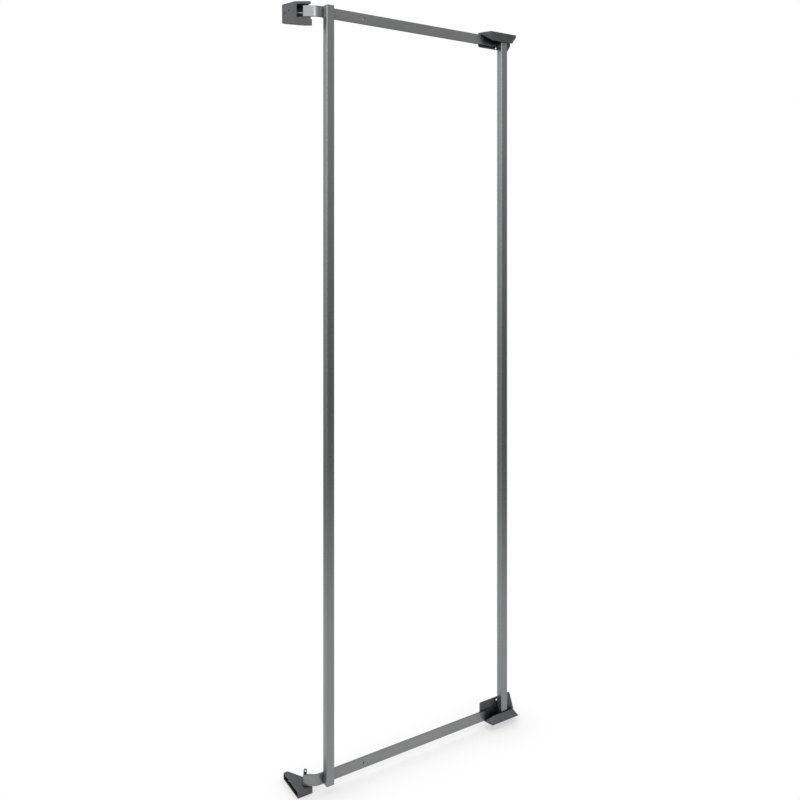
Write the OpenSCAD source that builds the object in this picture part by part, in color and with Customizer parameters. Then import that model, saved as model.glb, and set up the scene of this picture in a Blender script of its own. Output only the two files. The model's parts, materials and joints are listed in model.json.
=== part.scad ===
// Swing frame for a tall cabinet: two square uprights and two flat bars that turn on
// a pair of pivot bearings at the cabinet side, with sliding guides at the free end.
// X runs along the bars to the free end, Y into the cabinet, Z up. The origin is on the
// cabinet floor, midway between the two floor screws of the bottom bearing.

/* [Frame] */
// Height of the frame over its bars
frame_h = 1800; // [1500:10:2100]
// Distance from the left upright's outer face to the right upright's outer face
frame_w = 532.6; // [420:1:640]
// Outside width of the square upright tube
tube_w = 20; // [18:0.5:22]
// Wall thickness of the upright tube
tube_wall = 1.5; // [1:0.1:2]
// Outside corner radius of the upright tube
tube_corner = 1.6; // [1.5:0.1:2.5]
// Height of the flat bar
bar_h = 25; // [24:0.5:28]
// Thickness of the flat bar
bar_t = 5; // [4:0.5:5]
// Radius of the small hole near the hinge end of each bar
bar_hole_r = 2.2; // [1.5:0.1:3]

/* [Pivot] */
// Distance of the pivot axis from the cabinet side
pivot_x = 26.8; // [26.6:0.1:27]
// Distance of the pivot axis behind the bars' front face
pivot_back = 24.8; // [24.6:0.1:25]
// Radius of the pivot pins
pin_r = 3; // [2.5:0.1:3]
// Radial running clearance between a pin and its bush
pin_play = 0.05; // [0.02:0.01:0.1]
// Travel of the sprung release pin
pin_travel = 6; // [4:0.5:6]

/* [Bearings] */
// Height of the bottom bearing cover
shoe_h = 15; // [14:0.5:18]
// Gap between the bottom bearing cover and the arm
shoe_gap = 2; // [1.5:0.5:3]
// Wall thickness of the plastic covers
cover_wall = 2; // [1.5:0.1:2.5]
// Thickness of the steel bearing plates
plate_t = 3; // [2.5:0.5:3]

/* [Guides] */
// Thickness of a guide's back plate and ledge
guide_t = 3; // [3:0.5:4]
// Height of a guide's back plate above its ledge
guide_h = 49; // [46:1:54]
// Half length of a guide's front lip at its base
lip_half = 42; // [40:1:44]

/* [Hidden] */
$fn = 48;
eps = 0.01;         // overlap that makes cuts clean
air = 0.1;          // gap between faces that pass each other

// Frame position
front_y = -47.5;                            // front face of the bars
bottom_z = shoe_h + shoe_gap;               // lower edge of the bottom bar
top_z = bottom_z + frame_h;                 // upper edge of the top bar
left_x = 60;                                // outer face of the left upright
right_x = left_x + frame_w;                 // outer face of the right upright
upright_z = bottom_z + 3;                   // the uprights end above the bar's lower edge
pivot = [pivot_x, front_y + pivot_back];

// Steel and plastic colours
coat = [0.47, 0.48, 0.47];
slate = [0.27, 0.29, 0.32];
bright = [0.75, 0.75, 0.74];
black = [0.1, 0.1, 0.11];
acetal = [0.2, 0.2, 0.21];

// Pivot arm, seen from above: it leaves the bar at arm_start and turns back by arm_angle
arm_angle = 36;
arm_bend_r = 27;                            // bend radius at the front face
arm_start = 52;
arm_end_l = 22;                             // straight length after the bend
arm_dir = [-cos(arm_angle), sin(arm_angle)];
arm_normal = [sin(arm_angle), cos(arm_angle)];

// Pivot sleeves at the arm ends
sleeve_r = 5.5;
spring_bore_r = 4.5;                        // wide part of the bottom sleeve's bore
sleeve_floor = 3.5;                         // length of the narrow part below it
low_sleeve_h = bar_h - 7.5;                 // the bottom sleeve is shorter than its bar
cap_t = 1.5;                                // height of the sleeve's top cap
collar_t = 1.5;                             // height of the release pin's collar
loop_lift = 0.6;                            // gap between the sleeve and the pull tab
wire_r = 0.45;                              // release spring wire
spring_r = 3.75;                            // release spring coil radius
spring_turns = 4.5;

// Holes for 5 mm countersunk screws into the cabinet
screw_hole_r = 2.6;
sink_r = 4.8;
sink_t = 2;

// Frame fasteners, two at each corner
screw_r = 2;
screw_head_r = 4;
screw_head_t = 2.1;
nut_r = 3;
nut_head_r = 3.9;
nut_head_t = 0.8;
screw_inset = 7.5;                          // screw centre from the bar's edge

// Top bearing, heights measured from the frame's top edge
slot_over = 4.2;                            // slot above the arm
slot_floor = -bar_h - 1.2;                  // slot floor around the collar's pocket
collar_floor = -bar_h - 6.5;                // floor of the collar's pocket
pocket_play = 0.6;                          // gap around the collar in its pocket
pocket_step_x = 33;                         // the slot is as deep as the pocket beyond this
jaw_top = 10;                               // top of the upper jaw
jaw_bottom = -bar_h - 22.3;                 // underside at the front
back_top = 19.7;                            // top of the cover at its back end
back_bottom = -bar_h + 0.2;                 // underside of the cover at its back end
collar_r = 8.5;
stop_rod_r = 1.5;
stop_rod_off = 6.2;                         // stop rod axis behind the pivot axis
stop_rod_l = 26.5;
lug_r = 5.2;                                // bracket lug around the pivot pin
web_x = cover_wall + plate_t;               // inner face of the bracket's web
side_hole_ys = [front_y + 58, front_y + 80];
side_hole_z = -5;

// Guides: X of their main points, and heights from the bar's outer edge
guide_play = 0.3;                           // sliding gap around the frame
liner_t = 1;
guide_left = right_x - 70.6;                // back plate's left edge
lip_left = right_x - 53.6;                  // front lip's base
lip_right = lip_left + 2 * lip_half;
lip_top_left = right_x - 45.1;              // front lip's free edge
lip_top_right = right_x + 14.9;
lip_y = front_y - tube_w - 2;               // inner face of the front lip
lip_t = 4;                                  // thickness of the lip at its base
lip_top_t = 1.4;                            // and at its free edge

top_guide_shift = -4.5;                       // the top guide stands nearer to the pivot

// ---------- helpers ----------

// Moves a part from cabinet coordinates, with X = 0 at the cabinet side, to the origin
// between the bottom bearing's floor screws
module place() {
    translate([-floor_screw_x, 0, 0]) children();
}

// Points of a polygon with each corner replaced by a short curve of length cut
function unit(v) = v / norm(v);
function curved(pts, cut, steps = 6) = [
    for (i = [0 : len(pts) - 1])
        let (
            p = pts[i],
            a = p + cut * unit(pts[(i + len(pts) - 1) % len(pts)] - p),
            b = p + cut * unit(pts[(i + 1) % len(pts)] - p)
        )
        for (s = [0 : steps])
            let (t = s / steps)
            (1 - t) * (1 - t) * a + 2 * t * (1 - t) * p + t * t * b
];

// Points of a convex, anticlockwise polygon with every side moved inwards by d
function inset(pts, d) = [
    for (i = [0 : len(pts) - 1])
        let (
            e = unit(pts[i] - pts[(i + len(pts) - 1) % len(pts)]),
            f = unit(pts[(i + 1) % len(pts)] - pts[i]),
            n = [-e.y, e.x],
            m = [-f.y, f.x]
        )
        pts[i] + d * (n + m) / (1 + n * m)
];

// Square with rounded corners, centred
module round_square(w, r) {
    polygon(curved([[-w, -w] / 2, [w, -w] / 2, [w, w] / 2, [-w, w] / 2], 1.6 * r));
}

// Profile given in Y and Z, extruded along X from x0 to x1
module along_x(x0, x1) {
    translate([x0, 0, 0]) rotate([90, 0, 90]) linear_extrude(x1 - x0) children();
}

// Profile given in X and Z, extruded along Y from y0 to y1
module along_y(y0, y1) {
    translate([0, y1, 0]) rotate([90, 0, 0]) linear_extrude(y1 - y0) children();
}

// Upright cylinder between two heights
module post(r, z0, z1) {
    translate([0, 0, z0]) cylinder(r = r, h = z1 - z0);
}

module at_pivot() {
    translate([pivot.x, pivot.y, 0]) children();
}

// Heights measured from the frame's top edge
module at_top() {
    translate([0, 0, top_z]) children();
}

// Mirrors a bottom corner piece to the top corner
module flip_to_top() {
    translate([0, 0, bottom_z + top_z]) mirror([0, 0, 1]) children();
}

// ---------- uprights and their fasteners ----------

function screw_xs() = [left_x + tube_w / 2, right_x - tube_w / 2];
function screw_zs() = [
    bottom_z + screw_inset, bottom_z + bar_h - screw_inset,
    top_z - bar_h + screw_inset, top_z - screw_inset
];

// Cylinders along Y at every frame screw, from y0 to y1
module at_screws(r, y0, y1) {
    for (x = screw_xs(), z = screw_zs())
        translate([x, y1, z]) rotate([90, 0, 0]) cylinder(r = r, h = y1 - y0);
}

module upright(x) {
    color(coat) difference() {
        translate([x + tube_w / 2, front_y - tube_w / 2, upright_z])
            linear_extrude(top_z - upright_z) difference() {
                round_square(tube_w, tube_corner);
                round_square(tube_w - 2 * tube_wall, 0.5);
            }
        at_screws(nut_r + air / 2, front_y - tube_wall - 1, front_y + 1);
    }
}

module left_upright() { upright(left_x); }
module right_upright() { upright(right_x - tube_w); }

// Plugs that close the tube ends, flush with them
module upright_end_caps() {
    plug_w = tube_w - 2 * tube_wall - 2 * air;
    color(black)
        for (x = screw_xs(), z = [upright_z, top_z - 2])
            difference() {
                translate([x, front_y - tube_w / 2, z]) linear_extrude(2)
                    round_square(plug_w, 0.5);
                at_screws(nut_head_r + air, front_y - 12, front_y);
            }
}

// Blind rivet nuts in the uprights' back walls
module rivet_nuts() {
    color(bright) difference() {
        union() {
            at_screws(nut_r, front_y - 9, front_y - eps);
            at_screws(nut_head_r, front_y - tube_wall - nut_head_t - air, front_y - tube_wall - air);
        }
        at_screws(screw_r + 0.05, front_y - 10, front_y + 1);
    }
}

// Countersunk screws from the bars' back faces into the rivet nuts
module frame_screws() {
    back = front_y + bar_t;
    color(bright) {
        at_screws(screw_r, front_y - 8, back - 2);
        for (x = screw_xs(), z = screw_zs())
            difference() {
                translate([x, back - screw_head_t - air, z]) rotate([-90, 0, 0])
                    cylinder(r1 = screw_r, r2 = screw_head_r, h = screw_head_t);
                translate([x, back - 1.6, z]) rotate([-90, 0, 0]) cylinder(r = 1.3, h = 3, $fn = 6);
            }
    }
}

// ---------- bars with their bent pivot arms ----------

// Centre of the bend, behind the bar
bend_c = [arm_start, front_y + arm_bend_r];
// Point on the arm at a distance from the bend centre, where the straight end starts
function bend_end(r) = bend_c + r * [-sin(arm_angle), -cos(arm_angle)];

module bar_plan() {
    inner = arm_bend_r - bar_t;
    steps = 12;
    polygon(concat(
        [[right_x, front_y + bar_t]],
        [for (i = [0 : steps]) let (a = arm_angle * i / steps) bend_c + inner * [-sin(a), -cos(a)]],
        [bend_end(inner) + arm_end_l * arm_dir, bend_end(arm_bend_r) + arm_end_l * arm_dir],
        [for (i = [steps : -1 : 0]) let (a = arm_angle * i / steps)
            bend_c + arm_bend_r * [-sin(a), -cos(a)]],
        [[right_x, front_y]]
    ));
}

module bar(z, sleeve_h) {
    hole_x = 168;
    back = front_y + bar_t;
    color(coat) difference() {
        translate([0, 0, z]) linear_extrude(bar_h) bar_plan();
        at_pivot() post(sleeve_r, z - eps, z + sleeve_h + eps);
        at_screws(screw_r + 0.2, front_y - 1, back + 1);
        for (x = screw_xs(), sz = screw_zs())
            translate([x, back - 2.3, sz]) rotate([-90, 0, 0])
                cylinder(r1 = screw_r + 0.2, r2 = screw_head_r + 0.3, h = 2.3 + eps);
        translate([hole_x, back + 1, z + bar_h / 2]) rotate([90, 0, 0])
            cylinder(r = bar_hole_r, h = bar_t + 2);
    }
}

module bottom_bar() { bar(bottom_z, low_sleeve_h); }
module top_bar() { bar(top_z - bar_h, bar_h); }

// ---------- pivot sleeves, pins and spring ----------

module top_pivot_sleeve() {
    z0 = top_z - bar_h;
    color(coat) at_pivot() difference() {
        post(sleeve_r, z0, top_z);
        post(pin_r + 1 + pin_play, z0 - 1, top_z + 1);
    }
}

// One flanged bush at each end of the top sleeve
module top_sleeve_bushes() {
    z0 = top_z - bar_h;
    bore = pin_r + pin_play;
    color(acetal) at_pivot()
        for (s = [[z0 - 1, z0 - air, z0 + 9], [top_z + 1, top_z + air, top_z - 9]])
            difference() {
                union() {
                    post(sleeve_r, min(s[0], s[1]), max(s[0], s[1]));
                    post(pin_r + 1, min(s[0], s[2]), max(s[0], s[2]));
                }
                post(bore, z0 - 2, top_z + 2);
            }
}

module bottom_pivot_sleeve() {
    z0 = bottom_z;
    color(coat) at_pivot() difference() {
        post(sleeve_r, z0, z0 + low_sleeve_h);
        post(pin_r + pin_play, z0 - 1, z0 + bar_h);
        post(spring_bore_r, z0 + sleeve_floor, z0 + bar_h);
    }
}

// Ring that closes the sleeve above the spring
module bottom_sleeve_cap() {
    z1 = bottom_z + low_sleeve_h;
    color(bright) at_pivot() difference() {
        post(spring_bore_r - 0.02, z1 - cap_t, z1);
        post(pin_r + pin_play, z1 - cap_t - 1, z1 + 1);
    }
}

// Sprung pin: its lower end stands in the bottom bearing bush
module release_pin() {
    z0 = bottom_z;
    color(bright) at_pivot() {
        translate([0, 0, z0 - pin_travel + 0.5]) cylinder(r1 = pin_r - 0.8, r2 = pin_r, h = 1);
        post(pin_r, z0 - pin_travel + 1.5, z0 + low_sleeve_h + loop_lift);
        post(spring_bore_r - air, z0 + sleeve_floor, z0 + sleeve_floor + collar_t);
    }
}

// Eyed pull tab on top of the release pin
module release_loop() {
    w = 7.6;
    h = 15;
    t = 2;
    eye_w = 2.8;
    z0 = bottom_z + low_sleeve_h + loop_lift;
    eye_top = z0 + h - 2.3 - eye_w / 2;
    eye_low = eye_top - 2.6;
    color(black) at_pivot() rotate([0, 0, -arm_angle]) along_y(-t / 2, t / 2) difference() {
        union() {
            translate([-w / 2, z0]) square([w, h - w / 2]);
            translate([0, z0 + h - w / 2]) circle(r = w / 2);
        }
        translate([-eye_w / 2, eye_low]) square([eye_w, eye_top - eye_low]);
        for (z = [eye_low, eye_top]) translate([0, z]) circle(r = eye_w / 2, $fn = 24);
    }
}

// Compression spring between the release pin's collar and the sleeve cap
module release_spring() {
    z0 = bottom_z + sleeve_floor + collar_t + wire_r + air;
    z1 = bottom_z + low_sleeve_h - cap_t - wire_r - air;
    per_turn = 14;
    sides = 6;
    rings = round(spring_turns * per_turn);
    pts = [
        for (i = [0 : rings], j = [0 : sides - 1])
            let (a = 360 * i / per_turn, b = 360 * j / sides, r = spring_r + wire_r * cos(b))
            [r * cos(a), r * sin(a), z0 + (z1 - z0) * i / rings + wire_r * sin(b)]
    ];
    skin = [
        for (i = [0 : rings - 1], j = [0 : sides - 1])
            let (k = (j + 1) % sides)
            [i * sides + j, i * sides + k, (i + 1) * sides + k, (i + 1) * sides + j]
    ];
    ends = [
        [for (j = [sides - 1 : -1 : 0]) j],
        [for (j = [0 : sides - 1]) rings * sides + j]
    ];
    color(bright) at_pivot() polyhedron(points = pts, faces = concat(skin, ends));
}

// ---------- bottom bearing ----------

shoe_front = front_y + 7;
shoe_back = front_y + 88;
shoe_plan = [
    [0, shoe_front], [37, shoe_front], [37, shoe_front + 36.6],
    [10.5, shoe_back], [0, shoe_back]
];
floor_screw_gap = 50;
floor_screw_x = 9;

// Steel plate on the cabinet floor with a welded boss under the pivot
module bottom_bearing_plate() {
    plan = inset(shoe_plan, cover_wall + 0.3);
    color(black) difference() {
        union() {
            linear_extrude(plate_t) polygon(plan);
            at_pivot() post(8, plate_t - eps, shoe_h - cover_wall - air);
        }
        at_pivot() post(5, -1, shoe_h);
        for (s = [-1, 1]) translate([floor_screw_x, s * floor_screw_gap / 2, 0]) {
            post(screw_hole_r, -1, plate_t + 1);
            translate([0, 0, plate_t - sink_t]) cylinder(r1 = screw_hole_r, r2 = sink_r, h = sink_t + eps);
        }
    }
}

// Flanged bush that carries the frame's weight
module bottom_bearing_bush() {
    color(acetal) at_pivot() difference() {
        union() {
            post(5 - 0.02, 1, shoe_h - eps);
            post(8, shoe_h + air, bottom_z - air);
            post(5 - 0.02, shoe_h - 1, bottom_z - air);
        }
        post(pin_r + pin_play, 0, bottom_z + 1);
    }
}

// Open-sided plastic cover over the plate, with the opening at the cabinet side
module bottom_bearing_cover() {
    color(slate) difference() {
        linear_extrude(shoe_h) polygon(shoe_plan);
        translate([0, 0, -1]) linear_extrude(1 + shoe_h - cover_wall)
            polygon(inset(shoe_plan, cover_wall));
        translate([-1, shoe_front + cover_wall, cover_wall])
            cube([cover_wall + 2, shoe_back - shoe_front - 2 * cover_wall, shoe_h - 2 * cover_wall]);
        at_pivot() post(5.2, 0, shoe_h + 1);
    }
}

// ---------- top bearing ----------

// Plan of the cover: its front face is parallel to the arm's end
top_plan = [
    [0, front_y + 98], [0, front_y + 33], [3, front_y + 27], [35.5, front_y + 6.6],
    [37, front_y + 10], [37, front_y + 46], [12, front_y + 98]
];
// Side outline in Y and Z, heights from the frame's top edge
top_side = [
    [front_y + 4, jaw_bottom], [front_y + 99, back_bottom], [front_y + 99, back_top],
    [front_y + 34, jaw_top], [front_y + 4, jaw_top]
];
// Front outline in X and Z: the right side leans inwards towards the top
top_front = [[-5, -60], [37.8, -60], [31.9, 26], [-5, 26]];
// Space the arm sweeps, seen from above
slot_plan = [
    [5.4, front_y - 5], [50, front_y - 5], [50, front_y + 44], [30, front_y + 49],
    [12, front_y + 48], [5.4, front_y + 34]
];
lug_upper = slot_over + 1;
lug_lower = collar_floor - 1.2 - plate_t;

// Holes for the two screws into the cabinet side
module side_holes(r) {
    for (y = side_hole_ys) translate([0, y, side_hole_z]) rotate([0, 90, 0]) post(r, -1, web_x + 1);
}

// Steel bracket at the cabinet side with a lug above and below the arm
module top_bearing_bracket() {
    color(bright) at_top() difference() {
        union() {
            along_x(cover_wall, web_x) intersection() {
                polygon(inset(top_side, cover_wall + 3));
                translate([front_y + 36, -80]) square([54, 120]);
            }
            for (z = [lug_upper, lug_lower]) translate([0, 0, z]) linear_extrude(plate_t) {
                translate(pivot) circle(r = lug_r);
                polygon([
                    [cover_wall, front_y + 36], pivot + [-4.2, -3], pivot + [4.2, 3],
                    [28, front_y + 40], [22, front_y + 46], [cover_wall, front_y + 46]
                ]);
            }
        }
        stop_rod(stop_rod_r + 0.02);
        at_pivot() post(pin_r + pin_play, -80, 40);
        side_holes(screw_hole_r);
        for (y = side_hole_ys) translate([web_x - sink_t, y, side_hole_z]) rotate([0, 90, 0])
            cylinder(r1 = screw_hole_r, r2 = sink_r, h = sink_t + eps);
    }
}

// The cover's outer form, or its inner form when inward is the wall thickness
module top_block(inward) {
    intersection() {
        translate([0, 0, -80]) linear_extrude(140) polygon(inward == 0 ?
            curved(top_plan, 1.5) : inset(top_plan, inward));
        along_x(-1, 60) polygon(inset(top_side, inward));
        along_y(front_y, front_y + 120) polygon(inset(top_front, inward));
    }
}

// Slot for the arm, with a deeper floor where the collar stands
module arm_slot(grow) {
    plan = grow == 0 ? slot_plan : inset(slot_plan, -grow);
    translate([0, 0, slot_floor - grow]) linear_extrude(slot_over - slot_floor + 2 * grow)
        polygon(plan);
    translate([0, 0, collar_floor - grow]) linear_extrude(slot_floor - collar_floor + 1)
        intersection() {
            polygon(plan);
            union() {
                translate(pivot) circle(r = collar_r + pocket_play + grow);
                translate([pocket_step_x - grow, front_y - 20]) square([60, 80]);
            }
        }
}

// Plate that closes the cover at the cabinet side; its edge stands grow inside the rim
module side_plate_plan(grow) {
    difference() {
        polygon(inset(top_side, cover_wall + 2 + grow));
        translate([front_y - 10, -80]) square([45 + grow, 120]);
    }
}

module top_bearing_side_plate() {
    color(slate) at_top() difference() {
        along_x(0, cover_wall - 0.02) side_plate_plan(0.05);
        side_holes(screw_hole_r);
    }
}

// Plastic cover over the bracket
module top_bearing_cover() {
    color(slate) at_top() difference() {
        top_block(0);
        arm_slot(0);
        difference() {
            top_block(cover_wall);
            arm_slot(1);
            translate([-2, front_y, -80]) cube([60, 35, 120]);
        }
        along_x(-1, cover_wall + 1) side_plate_plan(0);
        at_lugs();
        stop_rod(stop_rod_r + air);
    }
}

// Room for the bracket's lugs and the pin's clip inside the jaws
module at_lugs() {
    for (z = [lug_upper, lug_lower])
        translate([0, 0, z - air]) linear_extrude(plate_t + 2 * air) {
            translate(pivot) circle(r = lug_r + 0.4);
            polygon([
                [cover_wall, front_y + 35.8], pivot + [-4.5, -3.3], pivot + [4.6, 3],
                [28.4, front_y + 40.2], [22.2, front_y + 46.4], [cover_wall, front_y + 46.4]
            ]);
        }
    at_pivot() {
        post(pin_r + 2, lug_lower - 3, lug_lower);
        post(pin_r + 0.4, lug_lower, lug_upper);
    }
}

// Pin through both lugs and the arm's sleeve
module top_pivot_pin() {
    color(bright) at_top() at_pivot() post(pin_r, lug_lower - 2, lug_upper + plate_t);
}

module top_pin_clip() {
    color(bright) at_top() at_pivot() difference() {
        post(pin_r + 1.6, lug_lower - 1.4, lug_lower - 0.4);
        post(pin_r, lug_lower - 3, lug_lower + 1);
    }
}

// Collar between the lower lug's jaw and the arm
module top_spacer_collar() {
    color(bright) at_top() at_pivot() difference() {
        post(collar_r, collar_floor + air, -bar_h - 1 - air);
        post(pin_r + pin_play, collar_floor - 1, 0);
    }
}

// Rod behind the pivot, held in the bracket's web. Its free end meets the arm's tip when
// the frame is fully open.
module stop_rod(r) {
    z = -12.5;
    at_pivot() rotate([0, 0, -32]) translate([-stop_rod_l - 5, stop_rod_off, z])
        rotate([0, 90, 0]) cylinder(r = r, h = stop_rod_l);
}

module opening_stop_rod() {
    color(bright) at_top() stop_rod(stop_rod_r);
}

// ---------- free-end guides ----------

// Point of the line from a to b at the given Y
function at_y(a, b, y) = a + (b - a) * (y - a.y) / (b.y - a.y);

// Guide: a back plate behind the bar, a ledge at the bar's outer edge and a front lip
// with a sloping web at each end. base is how far the ledge stands off the bar's edge,
// tip the ledge's left corner, lip and lip_top the X range of the lip's base and top.
module guide_bracket(plate, hole, base, tip, lip, lip_top, lip_h) {
    y_back = front_y + bar_t + guide_play + liner_t;
    y_front = lip_y - lip_t;
    y_web = front_y - 2;
    ear = [lip[1] + 8, y_back];
    corner_l = [lip[0], y_front];
    corner_r = [lip[1], y_front];
    color(slate) translate([0, 0, bottom_z]) difference() {
        union() {
            along_y(y_back, y_back + guide_t) polygon(plate);
            translate([0, 0, -base]) linear_extrude(base - guide_play) polygon([
                [guide_left, y_back + guide_t], [guide_left, y_back], tip,
                corner_l, corner_r, ear, ear + [0, guide_t]
            ]);
            hull() {
                translate([lip[0], y_front, -base]) cube([lip[1] - lip[0], lip_t, 1]);
                translate([lip_top[0], lip_y - lip_top_t, lip_h - 1])
                    cube([lip_top[1] - lip_top[0], lip_top_t, 1]);
            }
            end_web(at_y(tip, corner_l, y_web), corner_l, lip_top[0], base, lip_h);
            end_web(at_y(ear, corner_r, y_web), corner_r, lip_top[1], base, lip_h);
        }
        translate([hole.x, y_back + guide_t + 1, hole.y]) rotate([90, 0, 0])
            cylinder(r = screw_hole_r, h = guide_t + 2);
        translate([hole.x, y_back + 1.5, hole.y]) rotate([90, 0, 0])
            cylinder(r1 = screw_hole_r, r2 = screw_hole_r + 1.7, h = 1.5 + eps);
    }
}

// Sloping web from the ledge's end, between points a and b, to the lip's upper corner
module end_web(a, b, top_x, base, lip_h) {
    hull() {
        for (p = [a, b]) translate([p.x - 1, p.y, -base]) cube([2, 1, base - guide_play]);
        translate([top_x - 1, lip_y - lip_top_t, lip_h - 1]) cube([2, lip_top_t, 1]);
    }
}

// Low-friction strip between the bar and the back plate
module guide_liner() {
    color(acetal) translate([right_x - 48, front_y + bar_t + guide_play, bottom_z])
        cube([76, liner_t, bar_h]);
}

module bottom_guide_bracket() {
    base = 1.9;
    guide_bracket([
        [guide_left, -base], [right_x + 42.4, -base], [right_x + 28.4, guide_h - 3],
        [guide_left + 2, guide_h - 3], [guide_left, guide_h - 6]
    ], [right_x - 14.6, 37.7], base, [right_x - 60.6, front_y + 3],
        [lip_left, lip_right], [lip_top_left, lip_top_right], 19.5);
}

module top_guide_bracket() {
    base = 6;
    h = guide_h - 18;
    tip = at_y([guide_left, front_y + bar_t], [lip_left, lip_y - lip_t], front_y + 3);
    translate([top_guide_shift, 0, 0]) flip_to_top() guide_bracket([
        [guide_left, -base], [right_x + 36, -base], [right_x + 35.4, h - 15],
        [right_x + 25.4, h], [guide_left + 3, h], [guide_left, h - 3]
    ], [right_x - 12, 27], base, tip,
        [lip_left, lip_right - 2.5], [lip_top_left, lip_top_right + 2], 16.5);
}

module bottom_guide_liner() { guide_liner(); }
module top_guide_liner() { translate([top_guide_shift, 0, 0]) flip_to_top() guide_liner(); }

place() left_upright();
place() right_upright();
place() top_bar();
place() bottom_bar();
place() upright_end_caps();
place() rivet_nuts();
place() frame_screws();
place() top_pivot_sleeve();
place() bottom_pivot_sleeve();
place() top_sleeve_bushes();
place() bottom_sleeve_cap();
place() release_pin();
place() release_loop();
place() release_spring();
place() bottom_bearing_plate();
place() bottom_bearing_bush();
place() bottom_bearing_cover();
place() top_bearing_bracket();
place() top_bearing_cover();
place() top_bearing_side_plate();
place() top_pivot_pin();
place() top_pin_clip();
place() top_spacer_collar();
place() opening_stop_rod();
place() bottom_guide_bracket();
place() top_guide_bracket();
place() bottom_guide_liner();
place() top_guide_liner();
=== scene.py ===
"""Looks of a cabinet swing frame: rounded edges, a coil spring, welds, materials, studio light and camera.

Pieces are placed from the CAD frame. The lights and the camera have places of their own.
Lengths are in metres, and small ones are written as millimetres times MM.
"""

import json
import math

import bmesh
import bpy
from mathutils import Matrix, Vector


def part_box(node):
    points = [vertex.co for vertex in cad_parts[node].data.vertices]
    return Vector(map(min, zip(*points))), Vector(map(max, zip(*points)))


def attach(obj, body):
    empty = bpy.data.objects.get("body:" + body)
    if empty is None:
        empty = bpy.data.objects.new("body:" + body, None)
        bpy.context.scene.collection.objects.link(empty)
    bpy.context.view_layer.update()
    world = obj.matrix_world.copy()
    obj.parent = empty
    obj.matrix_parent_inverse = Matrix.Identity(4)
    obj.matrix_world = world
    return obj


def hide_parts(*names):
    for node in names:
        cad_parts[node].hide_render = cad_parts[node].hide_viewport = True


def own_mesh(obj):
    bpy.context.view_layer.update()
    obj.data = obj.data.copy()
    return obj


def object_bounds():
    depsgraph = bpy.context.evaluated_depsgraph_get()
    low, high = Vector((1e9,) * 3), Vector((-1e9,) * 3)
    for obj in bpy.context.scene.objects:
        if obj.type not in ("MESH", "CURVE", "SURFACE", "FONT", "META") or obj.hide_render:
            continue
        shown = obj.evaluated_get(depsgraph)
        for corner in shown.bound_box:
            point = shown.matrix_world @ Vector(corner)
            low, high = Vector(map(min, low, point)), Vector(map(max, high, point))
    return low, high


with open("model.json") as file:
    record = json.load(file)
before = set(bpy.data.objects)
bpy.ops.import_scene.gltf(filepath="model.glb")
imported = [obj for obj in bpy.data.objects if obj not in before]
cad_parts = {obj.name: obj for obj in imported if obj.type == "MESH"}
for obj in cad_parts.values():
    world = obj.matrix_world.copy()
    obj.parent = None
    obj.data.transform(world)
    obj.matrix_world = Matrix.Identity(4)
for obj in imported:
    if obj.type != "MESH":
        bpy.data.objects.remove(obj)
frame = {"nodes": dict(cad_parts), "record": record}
cad_low, cad_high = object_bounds()

MM = 0.001


# ---------- node tree helpers ----------


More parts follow.
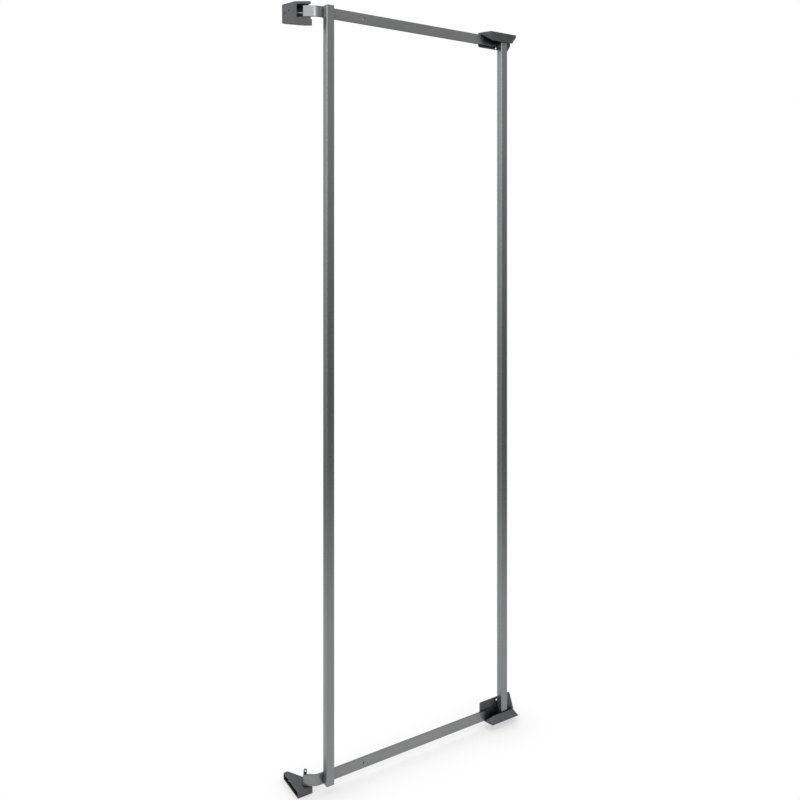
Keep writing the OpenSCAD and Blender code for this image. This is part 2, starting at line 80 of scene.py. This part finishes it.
class Tree:
    """A material's or world's node tree, with one short method for each kind of node used here."""

    def __init__(self, owner):
        owner.use_nodes = True
        self.nodes = owner.node_tree.nodes
        self.links = owner.node_tree.links
        self.nodes.clear()

    def add(self, kind, **settings):
        node = self.nodes.new(kind)
        for name, value in settings.items():
            setattr(node, name, value)
        return node

    def put(self, socket, value):
        """Links an output to the socket, or sets the socket's own value."""
        if isinstance(value, bpy.types.NodeSocket):
            self.links.new(value, socket)
        else:
            socket.default_value = value

    def coords(self, stretch=(1, 1, 1)):
        """Object coordinates in metres, stretched along the axes."""
        mapping = self.add("ShaderNodeMapping")
        self.put(mapping.inputs["Vector"], self.add("ShaderNodeTexCoord").outputs["Object"])
        mapping.inputs["Scale"].default_value = stretch
        return mapping.outputs["Vector"]

    def noise(self, size, detail=2.0, stretch=(1, 1, 1)):
        """Noise whose features are about size metres across."""
        node = self.add("ShaderNodeTexNoise")
        self.put(node.inputs["Vector"], self.coords(stretch))
        node.inputs["Scale"].default_value = 1 / size
        node.inputs["Detail"].default_value = detail
        return node.outputs["Fac"]

    def cells(self, size):
        """Distance to the nearest of scattered points that lie about size metres apart."""
        node = self.add("ShaderNodeTexVoronoi", feature="F1")
        self.put(node.inputs["Vector"], self.coords())
        node.inputs["Scale"].default_value = 1 / size
        return node.outputs["Distance"]

    def spread(self, value, low, high, from_low=0.0, from_high=1.0):
        """Maps a value's range to low..high."""
        node = self.add("ShaderNodeMapRange")
        node.inputs["From Min"].default_value = from_low
        node.inputs["From Max"].default_value = from_high
        node.inputs["To Min"].default_value = low
        node.inputs["To Max"].default_value = high
        self.put(node.inputs["Value"], value)
        return node.outputs["Result"]

    def maths(self, operation, a, b):
        node = self.add("ShaderNodeMath", operation=operation)
        self.put(node.inputs[0], a)
        self.put(node.inputs[1], b)
        return node.outputs[0]

    def blend(self, factor, first, second):
        """Mixes two colours: first at factor 0, second at factor 1."""
        node = self.add("ShaderNodeMix", data_type="RGBA")
        self.put(node.inputs["Factor"], factor)
        self.put(node.inputs["A"], first)
        self.put(node.inputs["B"], second)
        return node.outputs["Result"]

    def bump(self, height, depth, strength=1.0):
        """Bump whose full height is depth metres."""
        node = self.add("ShaderNodeBump")
        node.inputs["Distance"].default_value = depth
        node.inputs["Strength"].default_value = strength
        self.put(node.inputs["Height"], height)
        return node.outputs["Normal"]

    def edge_wear(self, reach):
        """1 on edges that stand out within reach metres, 0 on flat faces."""
        node = self.add("ShaderNodeAmbientOcclusion", inside=True, only_local=True, samples=4)
        node.inputs["Distance"].default_value = reach
        return self.spread(node.outputs["AO"], 1.0, 0.0, 0.35, 0.95)

    def painted_shade(self, tone, reach, darkest):
        """The tone with painted shade: darkened in corners and pockets up to reach metres wide, to a share
        darkest of itself.
        """
        node = self.add("ShaderNodeAmbientOcclusion", samples=4)
        node.inputs["Distance"].default_value = reach
        share = self.spread(node.outputs["AO"], darkest, 1.0, 0.25, 0.85)
        scale = self.add("ShaderNodeVectorMath", operation="SCALE")
        self.put(scale.inputs[0], tone)
        self.put(scale.inputs["Scale"], share)
        return scale.outputs["Vector"]

    def emission(self, colour):
        node = self.add("ShaderNodeEmission")
        self.put(node.inputs["Color"], colour)
        return node.outputs[0]

    def principled(self, **inputs):
        """The material's shader. An input's name has _ for each space."""
        shader = self.add("ShaderNodeBsdfPrincipled")
        for name, value in inputs.items():
            self.put(shader.inputs[name.replace("_", " ")], value)
        out = self.add("ShaderNodeOutputMaterial")
        self.links.new(shader.outputs["BSDF"], out.inputs["Surface"])
        return shader


def grey(level, tint=(1, 1, 1)):
    return (level * tint[0], level * tint[1], level * tint[2], 1)


def material(name):
    made = bpy.data.materials.new(name)
    return made, Tree(made)


# ---------- materials, one for each slot of the record ----------


def coated_steel():
    """Satin metallic powder coat: fine flake, faint orange peel, slight drift in tone."""
    made, t = material("coated_steel_finish")
    tint = (0.97, 1.0, 1.01)
    drift = t.noise(0.22, detail=3, stretch=(1, 1, 0.35))
    flake = t.cells(0.35 * MM)
    tone = t.blend(t.spread(drift, 0, 1, 0.3, 0.7), grey(0.24, tint), grey(0.27, tint))
    tone = t.blend(t.spread(flake, 0.2, 0, 0.0, 0.6), tone, grey(0.38, tint))
    peel = t.noise(1.1 * MM, detail=1)
    # Painted shade: the base colour darkens in corners and pockets up to 30 mm wide, to a quarter of itself
    t.principled(
        Base_Color=t.painted_shade(tone, 30 * MM, 0.25), Metallic=0.92,
        Roughness=t.spread(t.noise(6 * MM, detail=3), 0.27, 0.33, 0.3, 0.7),
        Normal=t.bump(peel, 0.012 * MM),
    )
    return made


def zinc_steel():
    """Bright zinc plating, slightly dull, with fine rolling lines."""
    made, t = material("plain_steel_finish")
    lines = t.noise(0.5 * MM, detail=2, stretch=(1, 1, 0.08))
    cloud = t.noise(5 * MM, detail=4)
    dull, clean = grey(0.50, (1, 1.01, 1.03)), grey(0.66, (1.02, 1.01, 1))
    tone = t.blend(t.spread(cloud, 0, 1, 0.3, 0.7), dull, clean)
    t.principled(
        Base_Color=tone, Metallic=1.0,
        Roughness=t.spread(cloud, 0.24, 0.42, 0.3, 0.7),
        Normal=t.bump(lines, 0.008 * MM),
    )
    return made


def black_steel():
    """Blackened steel with brighter, rubbed edges."""
    made, t = material("black_steel_finish")
    tone = t.blend(t.edge_wear(0.6 * MM), grey(0.028), grey(0.12))
    t.principled(
        Base_Color=tone, Metallic=0.75,
        Roughness=t.spread(t.noise(1.5 * MM, detail=3), 0.34, 0.5, 0.3, 0.7),
        Normal=t.bump(t.noise(0.4 * MM), 0.01 * MM),
    )
    return made


def moulded_plastic(name, dark, light, roughness):
    """Moulded plastic with a fine eroded texture and paler, rubbed edges."""
    made, t = material(name)
    grain = t.noise(0.28 * MM, detail=2)
    flow = t.noise(14 * MM, detail=3)
    tone = t.blend(t.spread(flow, 0, 1, 0.35, 0.65), dark, light)
    rubbed = tuple(min(1, c * 1.8) for c in light[:3]) + (1,)
    tone = t.blend(t.maths("MULTIPLY", t.edge_wear(0.8 * MM), 0.45), tone, rubbed)
    # Painted shade: the base colour darkens in corners and pockets up to 25 mm wide, to a fifth of itself
    t.principled(
        Base_Color=t.painted_shade(tone, 25 * MM, 0.2), Metallic=0.0,
        Roughness=t.spread(grain, roughness - 0.06, roughness + 0.08, 0.3, 0.7),
        Normal=t.bump(grain, 0.03 * MM, 0.8),
    )
    return made


def acetal():
    """Dark grey acetal: smooth, with faint flow marks."""
    made, t = material("bearing_plastic_finish")
    tone = t.blend(t.spread(t.noise(4 * MM), 0, 1, 0.3, 0.7), grey(0.035), grey(0.05))
    t.principled(
        Base_Color=tone, Roughness=t.spread(t.noise(1.5 * MM), 0.28, 0.36, 0.3, 0.7),
        Normal=t.bump(t.noise(2 * MM), 0.004 * MM),
    )
    return made


SLATE = (0.92, 1, 1.12)

FINISHES = {
    "coated_steel": coated_steel(),
    "plain_steel": zinc_steel(),
    "black_steel": black_steel(),
    "slate_plastic": moulded_plastic(
        "slate_plastic_finish", grey(0.060, SLATE), grey(0.074, SLATE), 0.5),
    "black_plastic": moulded_plastic("black_plastic_finish", grey(0.018), grey(0.026), 0.45),
    "bearing_plastic": acetal(),
}


# ---------- CAD nodes: finish and rounded edges ----------

# Radius asked for on each finish's sharp edges; the overlap clamp gives some nodes, like the bars, far less
EDGE_RADIUS = {
    "coated_steel": 0.6 * MM,
    "plain_steel": 0.15 * MM,
    "black_steel": 0.3 * MM,
    "slate_plastic": 0.6 * MM,
    "black_plastic": 0.2 * MM,
    "bearing_plastic": 0.15 * MM,
}
NO_ROUNDING = {"release_spring"}
SAME_POINT = 0.01 * MM                      # corners closer than this are one corner
FLAT_ANGLE = math.radians(1)                # faces closer to flat than this are one face
SHARP_ANGLE = math.radians(32)              # edges that turn more than this are rounded


def round_edges(obj, radius):
    """Rounds a CAD node's sharp edges by up to radius, with modifiers, so its own mesh stays as it is."""
    weld = obj.modifiers.new("weld", "WELD")
    weld.merge_threshold = SAME_POINT
    flats = obj.modifiers.new("flats", "DECIMATE")
    flats.decimate_type = "DISSOLVE"
    flats.angle_limit = FLAT_ANGLE
    bevel = obj.modifiers.new("bevel", "BEVEL")
    bevel.width = radius
    bevel.segments = 2
    bevel.limit_method = "ANGLE"
    bevel.angle_limit = SHARP_ANGLE
    bevel.use_clamp_overlap = True
    bevel.miter_outer = "MITER_ARC"
    shading = obj.modifiers.new("shading", "WEIGHTED_NORMAL")
    shading.keep_sharp = False
    shading.weight = 60


def finish_cad_nodes():
    """Gives each CAD node the finish of its slot in the record."""
    for part in frame["record"]["subparts"]:
        node, slot = part["node"], part["material_slot"]
        obj = frame["nodes"][node]
        obj.data.materials.clear()
        obj.data.materials.append(FINISHES[slot])
        if node not in NO_ROUNDING:
            round_edges(obj, EDGE_RADIUS[slot])


# ---------- pieces added to the CAD nodes ----------


def sweep(name, path, radii, sides=10):
    """A round bar along a path of points, with one radius for each point and closed ends."""
    mesh = bpy.data.meshes.new(name)
    bm = bmesh.new()
    rings = []
    for i, (place, radius) in enumerate(zip(path, radii)):
        ahead = (path[min(i + 1, len(path) - 1)] - path[max(i - 1, 0)]).normalized()
        across = ahead.orthogonal() if abs(ahead.z) > 0.9 else ahead.cross(Vector((0, 0, 1)))
        across.normalize()
        other = ahead.cross(across)
        turns = [2 * math.pi * k / sides for k in range(sides)]
        circle = [math.cos(a) * across + math.sin(a) * other for a in turns]
        rings.append([bm.verts.new(place + radius * step) for step in circle])
    for first, second in zip(rings, rings[1:]):
        for k in range(sides):
            n = (k + 1) % sides
            bm.faces.new((first[k], first[n], second[n], second[k]))
    bm.faces.new(list(reversed(rings[0])))
    bm.faces.new(rings[-1])
    bmesh.ops.recalc_face_normals(bm, faces=bm.faces)
    for face in bm.faces:
        face.smooth = len(face.verts) == 4
    bm.to_mesh(mesh)
    bm.free()
    obj = bpy.data.objects.new(name, mesh)
    bpy.context.scene.collection.objects.link(obj)
    return obj


def release_coil():
    """The release pin's spring, with closed end coils."""
    low, high = (Vector(corner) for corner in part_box("release_spring"))
    middle = (low + high) / 2
    length = high.z - low.z
    wire = 0.45 * MM
    thinner = 0.04                          # share by which this wire is thinner than the CAD spring's
    turns, closed, steps = 5.5, 0.8, 26     # coils, closed coils at each end, and points per coil
    closed_rise = closed * wire
    radius = (high.x - low.x) / 2 - wire
    path = []
    for i in range(round(turns * steps) + 1):
        turn = i / steps
        share = min(max((turn - closed) / (turns - 2 * closed), 0), 1)
        ends = min(turn, closed) + max(turn - turns + closed, 0)
        lift = wire * ends + share * (length - 2 * wire - 2 * closed_rise)
        angle = 2 * math.pi * turn
        around = Vector((radius * math.cos(angle), radius * math.sin(angle), 0))
        path.append(Vector((middle.x, middle.y, low.z + wire + lift)) + around)
    coil = sweep("release_coil", path, [wire * (1 - thinner)] * len(path))
    coil.data.materials.append(FINISHES["plain_steel"])
    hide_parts("release_spring")
    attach(coil, "swing_frame")
    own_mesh(coil)


def weld_bead(name, foot, start_z, end_z):
    """A short upright weld at foot, with rounded ends and the ripples that a welder leaves."""
    bead_r = 1.0 * MM
    ripple = 0.9 * MM
    steps = 48
    path, radii = [], []
    for i in range(steps + 1):
        share = i / steps
        z = start_z + (end_z - start_z) * share
        path.append(Vector((foot.x, foot.y, z)))
        fade = math.sqrt(max(1 - abs(2 * share - 1) ** 3, 0.02))
        radii.append(bead_r * fade * (1 + 0.12 * math.sin(2 * math.pi * z / ripple)))
    bead = sweep(name, path, radii, sides=12)
    bead.data.materials.append(FINISHES["coated_steel"])
    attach(bead, "swing_frame")


def weld_beads():
    """Two short welds where each pivot sleeve meets the back of its arm."""
    arm_angle = math.radians(36)            # turn of the arm from the bar
    arm_normal = Vector((math.sin(arm_angle), math.cos(arm_angle), 0))
    along_arm = Vector((math.cos(arm_angle), -math.sin(arm_angle), 0))
    above_face, beside_axis = 0.8 * MM, 3.5 * MM
    parts = {"lower": (0.08, 0.4), "upper": (0.6, 0.92)}
    for sleeve in ("top_pivot_sleeve", "bottom_pivot_sleeve"):
        low, high = (Vector(corner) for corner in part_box(sleeve))
        sleeve_r = (high.x - low.x) / 2
        height = high.z - low.z
        foot = (low + high) / 2 - arm_normal * (sleeve_r - above_face) + along_arm * beside_axis
        for part, (start, end) in parts.items():
            weld_bead(f"{sleeve}_weld_{part}", foot, low.z + height * start, low.z + height * end)


# ---------- studio ----------


def camera_sees(tree, seen, reflected):
    """A shader that shows one emission straight to the camera and another one to every other ray."""
    mix = tree.add("ShaderNodeMixShader")
    tree.put(mix.inputs[0], tree.add("ShaderNodeLightPath").outputs["Is Camera Ray"])
    tree.put(mix.inputs[1], reflected)
    tree.put(mix.inputs[2], seen)
    return mix.outputs[0]


def world_light():
    """White to the camera. To the object: soft light on the left, and a high window in front on the left."""
    world = bpy.data.worlds.new("studio")
    bpy.context.scene.world = world
    t = Tree(world)
    split = t.add("ShaderNodeSeparateXYZ")
    t.put(split.inputs[0], t.add("ShaderNodeTexCoord").outputs["Generated"])
    x, y, z = split.outputs
    room = t.spread(z, 0.42, 0.66, 0.0, 0.30)
    left = t.spread(x, 0.95, 0.0, -0.95, -0.25)
    from_window = t.maths("ADD", t.maths("MULTIPLY", x, 0.75), t.maths("MULTIPLY", y, 0.66))
    width = t.spread(from_window, 1.0, 0.0, -0.9, -0.35)
    window = t.maths("MULTIPLY", width, t.spread(z, 0.0, 0.5, -0.04, 0.1))
    level = t.maths("ADD", t.maths("ADD", room, left), window)

    def background(colour):
        node = t.add("ShaderNodeBackground")
        t.put(node.inputs["Color"], colour)
        return node.outputs[0]

    out = t.add("ShaderNodeOutputWorld")
    t.put(out.inputs["Surface"], camera_sees(t, background(grey(1)), background(level)))


def area_light(name, place, target, size, power):
    data = bpy.data.lights.new(name, "AREA")
    data.shape = "RECTANGLE"
    data.size, data.size_y = size
    data.energy = power
    obj = bpy.data.objects.new(name, data)
    bpy.context.scene.collection.objects.link(obj)
    obj.location = place
    obj.rotation_euler = (Vector(target) - Vector(place)).to_track_quat("-Z", "Y").to_euler()
    obj.visible_camera = False
    return obj


def floor():
    """A pale floor that glows white to the camera, with a painted soft contact shadow. In reflections it is
    dimmer and fades further out.
    """
    mesh = bpy.data.meshes.new("floor")
    bm = bmesh.new()
    bmesh.ops.create_circle(bm, cap_ends=True, radius=30, segments=96)
    bm.to_mesh(mesh)
    bm.free()
    obj = bpy.data.objects.new("floor", mesh)
    bpy.context.scene.collection.objects.link(obj)
    middle = (cad_low + cad_high) / 2
    obj.location = (middle.x, middle.y, cad_low.z - 0.1 * MM)
    made, t = material("floor_paper")
    # Painted contact shadow: the camera's white is darkened where ambient occlusion finds the frame within
    # 120 mm
    shade = t.add("ShaderNodeAmbientOcclusion", samples=8)
    shade.inputs["Distance"].default_value = 120 * MM
    seen = t.spread(shade.outputs["AO"], 0.62, 1.0, 0.35, 0.97)
    away = t.add("ShaderNodeVectorMath", operation="LENGTH")
    coords = t.add("ShaderNodeTexCoord").outputs["Object"]
    t.put(away.inputs[0], coords)
    split = t.add("ShaderNodeSeparateXYZ")
    t.put(split.inputs[0], coords)
    near = t.spread(away.outputs["Value"], 0.85, 0.2, 0.9, 2.4)
    left = t.spread(split.outputs["X"], 0.3, 0.0, -3.0, -1.0)
    reflected = t.emission(t.maths("ADD", near, left))
    out = t.add("ShaderNodeOutputMaterial")
    t.put(out.inputs["Surface"], camera_sees(t, t.emission(seen), reflected))
    mesh.materials.append(made)


def studio():
    world_light()
    floor()
    middle = (cad_low + cad_high) / 2
    area_light("front", (-1.5, -3.1, 2.9), (0, 0, 1.8), (0.9, 1.3), 13)
    area_light("top", (0.0, -0.6, 4.0), middle, (2.0, 2.0), 30)


CAMERA_PLACE = (-0.7760, -1.7140, 1.2509)
CAMERA_TURN = math.radians(-31.9)           # to the right of +Y
CAMERA_SHIFT = -0.1864                      # of the picture's width, downwards


def camera():
    """A level camera in front on the left, a little above the frame's middle."""
    data = bpy.data.cameras.new("camera")
    data.lens = data.sensor_width = 36
    data.clip_start = 0.05
    obj = bpy.data.objects.new("camera", data)
    bpy.context.scene.collection.objects.link(obj)
    obj.location = CAMERA_PLACE
    obj.rotation_euler = (math.radians(90), 0, CAMERA_TURN)
    bpy.context.scene.camera = obj
    shift_lens(obj, CAMERA_SHIFT)


def shift_lens(cam, shift):
    """A lens shift that keeps the uprights parallel. It fades to none when the camera leaves its place."""
    place = bpy.data.objects.new("camera_place", None)
    place.location = cam.location
    bpy.context.scene.collection.objects.link(place)
    curve = cam.data.driver_add("shift_y")
    curve.driver.type = "AVERAGE"
    distance = curve.driver.variables.new()
    distance.type = "LOC_DIFF"
    distance.targets[0].id = cam
    distance.targets[1].id = place
    for modifier in list(curve.modifiers):
        curve.modifiers.remove(modifier)
    for away, value in ((0.0, shift), (0.05, 0.0)):
        point = curve.keyframe_points.insert(away, value)
        point.interpolation = "LINEAR"
    curve.extrapolation = "CONSTANT"


finish_cad_nodes()
release_coil()
weld_beads()
studio()
camera()
bpy.context.scene.view_settings.view_transform = "Standard"
